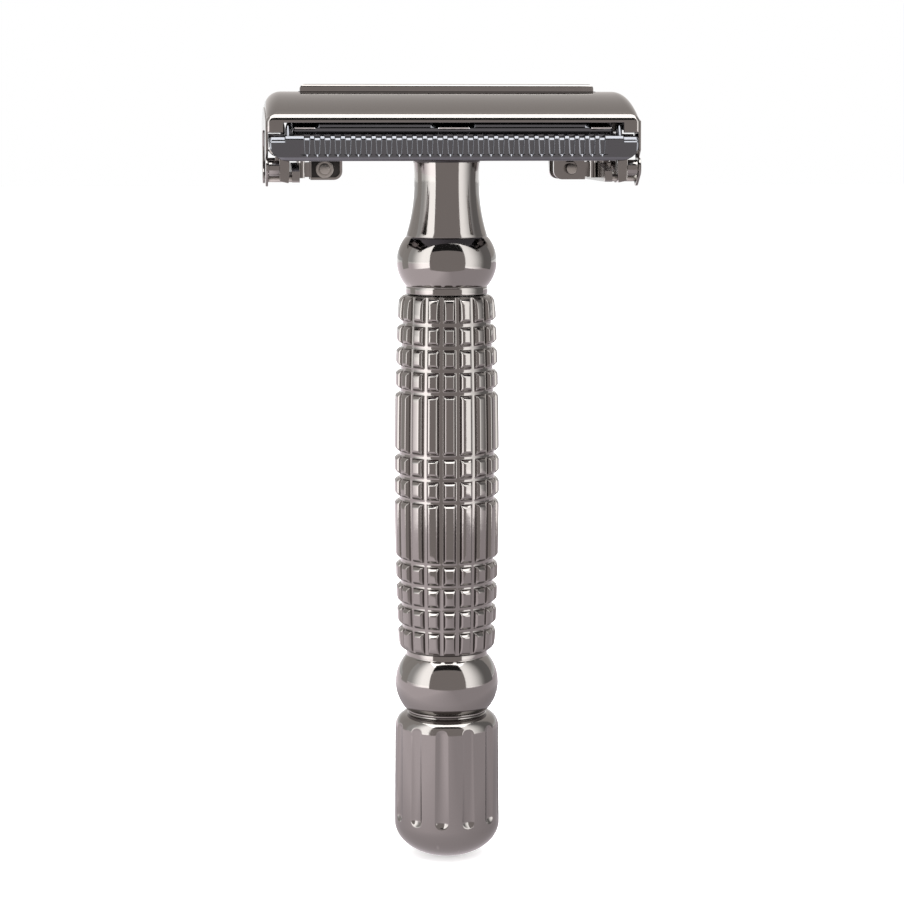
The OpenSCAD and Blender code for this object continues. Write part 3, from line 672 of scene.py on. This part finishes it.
FLUTE_COUNT = 12
FLUTE_PHASE = math.radians(-10.9 - 90)
FLUTE_R = 1.25
FLUTE_DEPTH = 0.36
FLUTE_LOW = 5.5
FLUTE_HIGH = 16.2
DOME_H = 4.1
RIM_H = 0.2
RIM_R = 4.7
SHOULDER_H = 1.7
SHOULDER_Z = KNOB_TOP - RIM_H - SHOULDER_H
TAPER = 0.1
SLEEVE_R = 3.3
SLEEVE_TOP = HANDLE_Z + 5.6
RING_GROOVE_R = 2.88
RING_GROOVE_LOW = HANDLE_Z + 3.45
RING_GROOVE_HIGH = HANDLE_Z + 4.25
KNOB_BORE_R = 2.5
KNOB_BORE_LOW = 4.2
OUT_OF_REACH = 99.0
# Degrees out from a flute's middle, close together where its edge is
FLUTE_STEPS = [0, 1.5, 3, 4.5, 5.8, 6.8, 7.4, 7.8, 8.2, 8.7, 9.5, 11, 13, 15]


def flute_radius(z, away):
    """Distance from the axis to a flute's surface, at angles away from the flute's middle."""
    past = max(FLUTE_LOW - z, z - FLUTE_HIGH, 0)
    if past >= FLUTE_R:
        return np.full(len(away), OUT_OF_REACH)
    centre = KNOB_R + FLUTE_R - FLUTE_DEPTH
    room = FLUTE_R ** 2 - past ** 2 - (centre * np.sin(away)) ** 2
    reach = centre * np.cos(away) - np.sqrt(np.maximum(room, 0))
    return np.where(room > 0, reach, OUT_OF_REACH)


def soft_min(a, b, blend):
    """The smaller of two values, rounded where they meet."""
    h = np.clip(0.5 + 0.5 * (b - a) / blend, 0, 1)
    return b + (a - b) * h - blend * h * (1 - h)


def make_knob():
    """Domed knob with scooped flutes, and the sleeve with a ring groove that turns in the handle."""
    angles, away = [], []
    steps = [*[-s for s in reversed(FLUTE_STEPS[1:-1])], *FLUTE_STEPS]
    for flute in range(FLUTE_COUNT):
        for step in steps:
            angles.append(FLUTE_PHASE + 2 * math.pi * flute / FLUTE_COUNT + math.radians(step))
            away.append(math.radians(step))
    angles, away = np.array(angles), np.array(away)
    dome = np.radians(np.arange(-86, 1, 3))
    flute_ends = [np.arange(4.2, 6.2, 0.07), np.arange(15.6, 15.88, 0.07)]
    wall = np.concatenate([flute_ends[0], np.linspace(6.3, 15.5, 12), flute_ends[1]])
    shoulder = np.radians(np.arange(0, 91, 2.5))
    inset = KNOB_R - TAPER - RIM_R - 0.08
    shell = [(KNOB_R * math.cos(a), DOME_H + DOME_H * math.sin(a)) for a in dome]
    shell += [(KNOB_R - TAPER * (z - DOME_H) / (SHOULDER_Z - DOME_H), z) for z in wall]
    shell += [(KNOB_R - TAPER - inset * (1 - math.cos(a)), SHOULDER_Z + SHOULDER_H * math.sin(a))
              for a in shoulder]
    shell += [(RIM_R, KNOB_TOP - RIM_H), (RIM_R, KNOB_TOP - 0.04), (RIM_R - 0.04, KNOB_TOP)]
    profile = [(0, 0)]
    for radius, z in shell:
        profile.append((soft_min(np.full(len(away), radius), flute_radius(z, away), 0.05), z))
    profile += [(SLEEVE_R, KNOB_TOP), (SLEEVE_R, RING_GROOVE_LOW), (RING_GROOVE_R, RING_GROOVE_LOW)]
    profile += [(RING_GROOVE_R, RING_GROOVE_HIGH), (SLEEVE_R, RING_GROOVE_HIGH), (SLEEVE_R, SLEEVE_TOP)]
    profile += [(KNOB_BORE_R, SLEEVE_TOP), (KNOB_BORE_R, KNOB_BORE_LOW), (0, KNOB_BORE_LOW)]
    mesh = lathe("fluted_knob", profile, angles, loop=False)
    add_object("fluted_knob", mesh, "knob", "gunmetal_knob", "knob")


# ---------------------------------------------------------------- doors

DOOR_WALL = 0.55
SHELL_HALF = DOOR_HALF - 0.12
EAR_T = 0.32
EAR_EDGE = 0.05
EAR_SLACK = 0.04
ROLL_CREST, ROLL_BEND, ROLL_LIP = 1.9, 1.0, 0.5
BEND_STEPS = 16
SPLIT = 0.12
NOTCH_GAP = 0.2
NOTCH_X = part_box("centre_bar")[1].x / MM + NOTCH_GAP
NOTCH_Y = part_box("centre_bar")[1].y / MM + NOTCH_GAP
LIP_Z = HEAD_Z + 4.3
BEND_R = 1.2
BEND_END = math.radians(8)
BEND_Y = LIP_Y - BEND_R * math.cos(BEND_END)
BEND_Z = LIP_Z + 0.14 - BEND_R * math.sin(BEND_END)
BEND_DROP = CREST_Z - BEND_Z
ARC_R = (BEND_Y ** 2 + BEND_DROP ** 2 - BEND_R ** 2) / (2 * (BEND_DROP - BEND_R))
ARC_Z = CREST_Z - ARC_R
SKIRT_Z = HEAD_Z + 3.17
SKIRT_X = 19.45
PIVOT_Y = 9.0
PIVOT_Z = HEAD_Z - 0.8
SLOT_ANGLE = math.atan(0.8)
SLOT_NEAR = 1.5
SLOT_FAR = math.hypot(1.5, 1.2)
SLOT_R = 0.57
HOLE_R = 0.6

# Lower edge of the shell's wall: share of the way across it, and depth
LIP_EDGE = [(0.06, 0.07), (0.22, 0.115), (0.5, 0.12), (0.78, 0.115), (0.94, 0.07)]


def door_path(steps=26):
    """Outer path of the front door's section: points, outward normals and the end rounding there."""
    meet = math.atan2(BEND_Z - ARC_Z, BEND_Y)
    crest = math.acos(SPLIT / ARC_R)
    path = []
    for k in range(steps + 1):
        a = crest + (meet - crest) * k / steps
        share = k / steps
        path.append((-ARC_R * math.cos(a), ARC_Z + ARC_R * math.sin(a), -math.cos(a), math.sin(a),
                     ROLL_CREST - (ROLL_CREST - ROLL_BEND) * share ** 2))
    for k in range(1, BEND_STEPS + 1):
        a = meet + (BEND_END - meet) * k / BEND_STEPS
        path.append((-BEND_Y - BEND_R * math.cos(a), BEND_Z + BEND_R * math.sin(a), -math.cos(a), math.sin(a),
                     ROLL_BEND - (ROLL_BEND - ROLL_LIP) * k / BEND_STEPS))
    return path


def door_section(x, low):
    """Closed section of the shell at x, rolled in near the door's ends and cut back at the centre bar."""
    outer, inner = [], []
    path = door_path()
    path.append((-LIP_Y, low + 0.12, -1, 0, ROLL_LIP))
    for y, z, ny, nz, roll in path:
        past = max(0.0, abs(x) - (SHELL_HALF - roll)) / roll
        turn = math.asin(min(1.0, past))
        drop = roll * (1 - math.cos(turn))
        outer.append((x, y - ny * drop, z - nz * drop))
        deep = drop + DOOR_WALL * math.cos(turn)
        inner.append((x - math.copysign(DOOR_WALL * math.sin(turn), x), y - ny * deep, z - nz * deep))
    if abs(x) < NOTCH_X:
        outer = [(px, min(py, -NOTCH_Y), pz) for px, py, pz in outer]
        inner = [(px, min(py, -NOTCH_Y), pz) for px, py, pz in inner]
    x0, y0, z0 = outer[-1]
    x1, y1, z1 = inner[-1]
    lip = [(x0 + (x1 - x0) * across, y0 + (y1 - y0) * across, z0 - sink) for across, sink in LIP_EDGE]
    return outer + lip + inner[::-1]


def door_shell():
    """Curved cover of a door: a row of sections along X, closed at both ends."""
    ends = [SHELL_HALF - ROLL_CREST * (1 - math.sin(math.radians(t))) for t in range(0, 91, 5)]
    xs = [0, 6, 12, NOTCH_X - 0.01, NOTCH_X + 0.01, 19.0, SKIRT_X - 0.1, SKIRT_X - 0.02]
    stations = [(x, LIP_Z) for x in xs] + [(SKIRT_X, SKIRT_Z), (SKIRT_X + 0.08, SKIRT_Z)]
    stations += [(x, SKIRT_Z) for x in ends if x > SKIRT_X + 0.15]
    stations = [(-x, low) for x, low in reversed(stations[1:])] + stations
    sections = [door_section(x, low) for x, low in stations]
    count = len(sections[0])
    points = [p for section in sections for p in section]
    faces = []
    for s in range(len(sections) - 1):
        for i in range(count):
            j = (i + 1) % count
            faces.append((s * count + i, s * count + j, (s + 1) * count + j, (s + 1) * count + i))
    rows = (count - len(LIP_EDGE)) // 2
    for start, flip in ((0, False), ((len(sections) - 1) * count, True)):
        for i in range(rows - 1):
            quad = [start + i, start + i + 1, start + count - 2 - i, start + count - 1 - i]
            faces.append(tuple(quad if flip else quad[::-1]))
        tip = list(range(start + rows - 1, start + rows + len(LIP_EDGE) + 1))
        faces.append(tuple(tip if flip else tip[::-1]))
    return smooth_mesh("door_shell", points, faces)


def turned(points, centre, angle):
    """Points turned about the origin and moved to a centre."""
    c, s = math.cos(angle), math.sin(angle)
    return [(centre[0] + c * y - s * z, centre[1] + s * y + c * z) for y, z in points]


def ear_outlines():
    """Outline of a door's end plate with its ear, its pivot hole and its slot, in (Y, Z)."""
    edge = [(y - ny * (roll - 0.1), z - nz * (roll - 0.1)) for y, z, ny, nz, roll in door_path(14)]
    edge = [p for p in edge if p[1] > LIP_Z + 0.4]
    pivot = (-PIVOT_Y, PIVOT_Z)
    boss = 1.15
    arm = 0.92
    tip = turned(arc((SLOT_FAR, 0), arm, 90, -90, 12), pivot, -SLOT_ANGLE)
    base = turned(arc((0, 0), boss, -100, -250, 12), pivot, -SLOT_ANGLE)
    outline = edge + [(-LIP_Y + 0.25, LIP_Z + 0.2), (-LIP_Y + 0.15, HEAD_Z + 1.2)]
    outline += base[::-1] + tip[::-1]
    outline += [(-PIVOT_Y + boss + 0.45, HEAD_Z + 0.2), (-PIVOT_Y + boss + 0.5, HEAD_Z + 1.4)]
    outline += [(-6.6, HEAD_Z + 3.0), (-6.2, HEAD_Z + 3.3), (-5.6, HEAD_Z + 3.4), (-SPLIT, HEAD_Z + 3.4)]
    hole = arc(pivot, HOLE_R, 0, 345, 23)
    slot = turned(arc((SLOT_FAR, 0), SLOT_R, -90, 90, 10) + arc((SLOT_NEAR, 0), SLOT_R, 90, 270, 10),
                  pivot, -SLOT_ANGLE)
    return [outline, hole, slot]


def make_door(name, body, turn):
    """Shell of a door with an end plate at each side."""
    meshes = [door_shell()]
    for side in (-1, 1):
        ear = plate(ear_outlines(), EAR_T - EAR_SLACK, EAR_EDGE)
        ear.transform(Matrix.Translation((side * (DOOR_HALF - EAR_T / 2) * MM, 0, 0)))
        meshes.append(ear)
    mesh = joined(name, meshes)
    mesh.transform(Matrix.Rotation(turn, 4, "Z"))
    obj = add_object(name, mesh, body, "gunmetal_doors", body)
    shade = obj.modifiers.new("shade", "NODES")
    shade.node_group = SHADING


# ---------------------------------------------------------------- guard's combed bars and fins

GUARD_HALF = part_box("guard_plate")[1].x / MM
BAR_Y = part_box("guard_plate")[1].y / MM
NOMINAL_HALF = 21.05
BAR_TOP = 2.9
# The bar's face, and its step back and down at the ends
FACE_Y = 0.085
STEP_BACK, STEP_DOWN = 0.14, 0.12
# Arcs over the bar's crest: degrees from and to, radius and steps
CREST_ARCS = [(0, 28, 0.25, 5), (28, 40, 1.6, 4), (40, 73, 0.3, 5)]
# Distance below the bar's top at which the arcs start
CREST_DROP = 0.55
# Rounding of the bar's two ends: length, and how far they draw in and sink
END_CURVE, END_IN, END_SINK = 0.35, 0.2, 0.15
COMB_COUNT = 30
COMB_PITCH = 1.158
COMB_LOW = 0.9
COMB_FLOOR_W = 0.21
COMB_TOP_W = 0.33
COMB_DEPTH = 0.2
# Near the top a groove's floor also sinks, from one height over a short stretch
FLOOR_SINK, SINK_FROM, SINK_OVER = 0.95, 2.3, 0.4
END_BAR_X = 19.3
CORNER_R = 2.1
CUT_Y = 9.9
FIN_X = 18.9
FIN_Y = 9.6
FIN_LEAN = 0.15
FIN_BASE = 2.3
FIN_SLIM = 0.42
# Height above the head's lowest level, then half width along X before slimming, and half depth
FIN_LEVELS = [(FIN_BASE, 1.3, 1.15), (2.6, 1.0, 1.05), (2.8, 0.86, 0.96), (3.1, 0.78, 0.83),
              (3.4, 0.74, 0.69), (3.7, 0.66, 0.55), (4.0, 0.5, 0.4), (4.2, 0.34, 0.28),
              (4.32, 0.2, 0.18), (4.39, 0.04, 0.05)]
# The CAD guard's own fins are cut away between these distances from the middle, above this height
FIN_CUT_X = (18.3, 19.5)
FIN_CUT_Y = (8.2, CUT_Y - 0.01)
FIN_CUT_Z = 2.96
# Lip and blade rests along the bed, and the recess in the crossbar's webs, as spans from the middle
# in X and Y and above the head's lowest level in Z
LIP_HALF = 18.2
BED_LIP_Y, BED_LIP_Z = (8.42, 8.72), (3.0, 3.72)
REST_SPANS = [(-LIP_HALF, -15.75), (-1.84, 1.84), (15.75, LIP_HALF)]
REST_Y, REST_Z = (8.5, 9.1), (3.5, 3.88)
WEB_X, WEB_Y, WEB_Z = (12.68, 15.98), (2.195, 2.235), (-2.02, -0.06)


def bar_path(x):
    """Outer path of the front bar's section at x: (distance behind the front, height), from below."""
    short = abs(x) > END_BAR_X
    back, top = (STEP_BACK, BAR_TOP - STEP_DOWN) if short else (0.0, BAR_TOP)
    path = [(1.05, 0.02), (0.5, 0.0), (0.36, 0.03), (0.2, 0.14), (0.09, 0.27), (0.01, 0.42)]
    path += [(0.0, 0.48), (0.075, 0.74)]
    path += [(FACE_Y, z) for z in (0.78, 0.82, 0.86, 0.92, 1.0, 1.4, 1.8, 2.1)]
    y, z = FACE_Y + back, top - CREST_DROP
    path.append((y, z))
    for start, stop, radius, steps in CREST_ARCS:
        for k in range(steps):
            a, b = (math.radians(start + (stop - start) * (k + e) / steps) for e in (0, 1))
            y, z = y + radius * (math.cos(a) - math.cos(b)), z + radius * (math.sin(b) - math.sin(a))
            path.append((y, z))
    path.append((BAR_Y - CUT_Y + 0.05, 2.84 if short else 2.99))
    low = CORNER_R - math.sqrt(max(0.0, CORNER_R ** 2 - max(0.0, abs(x) - GUARD_HALF + CORNER_R) ** 2))
    return [(y + 0.1 * max(0.0, low - z) / CORNER_R, max(z, low * (1 - 0.02 * z))) for y, z in path]


def comb_width(z):
    """Half the width of a groove at a height; 0 below its rounded foot."""
    if z < COMB_LOW:
        return math.sqrt(max(0.0, COMB_FLOOR_W ** 2 - (COMB_LOW - z) ** 2))
    return COMB_FLOOR_W + (COMB_TOP_W - COMB_FLOOR_W) * (z - COMB_LOW) / (BAR_TOP - COMB_LOW)


def bar_stations():
    """Stations along the bar: (middle, side offset, depth share). Offsets move with the groove's width."""
    stations = []
    for comb in range(COMB_COUNT):
        middle = (comb - (COMB_COUNT - 1) / 2) * COMB_PITCH
        for side in (-1, 1):
            steps = [(0.05, 0.0), (0.02, 0.1), (-0.01, 0.6), (-0.04, 0.95), (-0.07, 1.0)]
            stations += [(middle, side, step, share) for step, share in (steps if side < 0 else steps[::-1])]
        if comb < COMB_COUNT - 1:
            stations.append((middle + COMB_PITCH / 2, 0, 0, 0))
    outer = [17.8, 18.3, 18.9, END_BAR_X - 0.1, END_BAR_X + 0.01]
    outer += [19.7, 20.2, 20.5, 20.7, 20.85, 20.95, 21.01, 21.04]
    outer = [x * GUARD_HALF / NOMINAL_HALF for x in outer]
    return [(-x, 0, 0, 0) for x in reversed(outer)] + stations + [(x, 0, 0, 0) for x in outer]


def make_bar(name, turn):
    """One combed bar of the guard."""
    sections = []
    for middle, side, step, share in bar_stations():
        section = []
        end = max(0.0, abs(middle) - GUARD_HALF + END_CURVE) / END_CURVE
        for back, z in bar_path(middle):
            width = comb_width(z)
            x = middle + side * max(width + step, 0.005) if side else middle
            deep = share * COMB_DEPTH * min(1.0, width / 0.1) if side else 0.0
            lift = -FLOOR_SINK * deep * min(1, max(0, (z - SINK_FROM) / SINK_OVER))
            lift -= END_SINK * end ** 2 * (z > 2)
            section.append((x, -BAR_Y + back + deep + END_IN * end ** 2, HEAD_Z + z + lift))
        sections.append(section)
    count = len(sections[0])
    faces = [(s * count + i, (s + 1) * count + i, (s + 1) * count + i + 1, s * count + i + 1)
             for s in range(len(sections) - 1) for i in range(count - 1)]
    faces += [tuple(range(count))[::-1], tuple((len(sections) - 1) * count + i for i in range(count))]
    faces += [(s * count, s * count + count - 1, (s + 1) * count + count - 1, (s + 1) * count)
              for s in range(len(sections) - 1)]
    mesh = smooth_mesh(name, [p for section in sections for p in section], faces)
    mesh.transform(Matrix.Rotation(turn, 4, "Z"))
    obj = add_object(name, mesh, "handle", "dark_chrome")
    shade = obj.modifiers.new("shade", "NODES")
    shade.node_group = SHADING


def make_fins():
    """Four leaf-shaped fins that stand up at the corners of the blade."""
    around = even_angles(24)
    count = len(around)
    for number, (sx, sy) in enumerate(((-1, -1), (1, -1), (-1, 1), (1, 1))):
        points = []
        for z, wide, deep in FIN_LEVELS:
            middle = sy * (FIN_Y - FIN_LEAN * (z - FIN_BASE))
            points += [(sx * FIN_X + FIN_SLIM * wide * math.cos(a), middle + deep * math.sin(a), HEAD_Z + z)
                       for a in around]
        top = (len(FIN_LEVELS) - 1) * count
        faces = [(low + i, low + (i + 1) % count, low + count + (i + 1) % count, low + count + i)
                 for low in range(0, top, count) for i in range(count)]
        faces += [tuple(range(count))[::-1], tuple(range(top, top + count))]
        mesh = smooth_mesh("fin_%d" % number, points, faces)
        add_object("fin_%d" % number, mesh, "handle", "dark_chrome")


def solid_bar(name, corners, radius, body, slot, material=None):
    """Block between two corners in millimetres with its edges rounded."""
    (x0, y0, z0), (x1, y1, z1) = corners
    mesh = box_mesh(name, [((x0, y0, z0), (x1, y1, z1))])
    obj = add_object(name, mesh, body, slot)
    if material:
        mesh.materials[0] = MATERIALS[material]
    bevel = obj.modifiers.new("bevel", "BEVEL")
    bevel.width = radius * MM
    bevel.segments = 5
    shade = obj.modifiers.new("shade", "NODES")
    shade.node_group = SHADING


def mirrored(side, span):
    """A span of distances from the middle, on one side of it."""
    return sorted(side * reach for reach in span)


def make_bed_edges():
    """Upright lip along each edge of the bed, with three rounded blade rests on it; the rests get a brighter
    chrome that paints a highlight along them.
    """
    for side in (-1, 1):
        (y0, y1), (z0, z1) = mirrored(side, BED_LIP_Y), BED_LIP_Z
        solid_bar("bed_lip_%d" % side, ((-LIP_HALF, y0, z0), (LIP_HALF, y1, z1)), 0.08, "handle",
                  "dark_chrome")
        (y0, y1), (z0, z1) = mirrored(side, REST_Y), REST_Z
        for number, (x0, x1) in enumerate(REST_SPANS):
            solid_bar("blade_rest_%d_%d" % (side, number), ((x0, y0, z0), (x1, y1, z1)), 0.18, "handle",
                      "dark_chrome", "painted_highlight_chrome")


def make_web_faces():
    """Near-black plate of painted shade in the recess of the two rimmed webs, front left and rear right."""
    for side in (-1, 1):
        (x0, x1), (y0, y1), (z0, z1) = mirrored(side, WEB_X), mirrored(side, WEB_Y), WEB_Z
        solid_bar("web_recess_%d" % side, ((x0, y0, z0), (x1, y1, z1)), 0.005, "lift",
                  "gunmetal_head", "painted_shade_black")


def box_mesh(name, boxes):
    """Boxes given by their corners in millimetres, above the head's lowest level."""
    points, faces = [], []
    for (x0, y0, z0), (x1, y1, z1) in boxes:
        first = len(points)
        points += [(x, y, HEAD_Z + z) for z in (z0, z1) for x, y in ((x0, y0), (x1, y0), (x1, y1), (x0, y1))]
        faces += [tuple(first + i for i in face) for face in
                  ((3, 2, 1, 0), (4, 5, 6, 7), (0, 1, 5, 4), (1, 2, 6, 5), (2, 3, 7, 6), (3, 0, 4, 7))]
    mesh = bpy.data.meshes.new(name)
    mesh.from_pydata([tuple(c * MM for c in p) for p in points], [], faces)
    return mesh


def trim_guard():
    """Cuts the outer strips and the fins off the CAD guard, where the combed bars take their place."""
    reach_x, reach_y, low, high = 23, 13, -1, 4.6
    boxes = [((-reach_x, -reach_y, low), (reach_x, -CUT_Y, high)),
             ((-reach_x, CUT_Y, low), (reach_x, reach_y, high))]
    for sx in (-1, 1):
        for sy in (-1, 1):
            (x0, x1), (y0, y1) = mirrored(sx, FIN_CUT_X), mirrored(sy, FIN_CUT_Y)
            boxes.append(((x0, y0, FIN_CUT_Z), (x1, y1, high)))
    cutter = bpy.data.objects.new("guard_trimmer", box_mesh("guard_trimmer", boxes))
    bpy.context.scene.collection.objects.link(cutter)
    cutter.hide_render = True
    trim = frame["nodes"]["guard_plate"].modifiers.new("trim", "BOOLEAN")
    trim.operation = "DIFFERENCE"
    trim.solver = "EXACT"
    trim.object = cutter


# ---------------------------------------------------------------- pieces carried over from the CAD

# Width of the rounding on each part's edges, in millimetres
SOFTENED = {
    "guard_plate": 0.05, "blade_bed": 0.2, "centre_bar": 0.75, "left_end_bracket": 0.07,
    "right_end_bracket": 0.07, "crossbar": 0.0, "left_lift_arm": 0.0, "right_lift_arm": 0.0,
    "arm_pins": 0.06, "door_pivot_pins": 0.04, "drive_pins": 0.05, "bar_rivets": 0.03,
    "bracket_screws": 0.05, "crossbar_nut": 0.06, "head_nut": 0.04, "pin_washers": 0.03,
    "pivot_spacers": 0.03, "lift_rod": 0.0, "thrust_washer": 0.03, "drag_washer": 0.0,
    "retaining_ring": 0.03, "neck_bush": 0.03, "knob_bush": 0.03,
}


def dress_cad_nodes():
    """Gives each part kept from the frame its slot's material and its softened edges."""
    slots = {part["node"]: part["material_slot"] for part in frame["record"]["subparts"]}
    for node, width in SOFTENED.items():
        obj = frame["nodes"][node]
        for slot in obj.material_slots:
            slot.material = MATERIALS[slots[node]]
        if node == "guard_plate":
            trim_guard()
        soften(obj, width)


make_camera()
make_studio()
make_floor()
SHADING = shading_group()
BARE = bare_group()
MATERIALS = make_materials()
make_neck()
make_grip()
make_foot()
make_knob()
make_door("front_door_shell", "front_door", 0)
make_door("rear_door_shell", "rear_door", math.pi)
make_bar("front_bar", 0)
make_bar("rear_bar", math.pi)
make_fins()
make_bed_edges()
make_web_faces()
dress_cad_nodes()

bpy.context.scene.view_settings.view_transform = "Standard"
bpy.context.scene.cycles.use_denoising = True
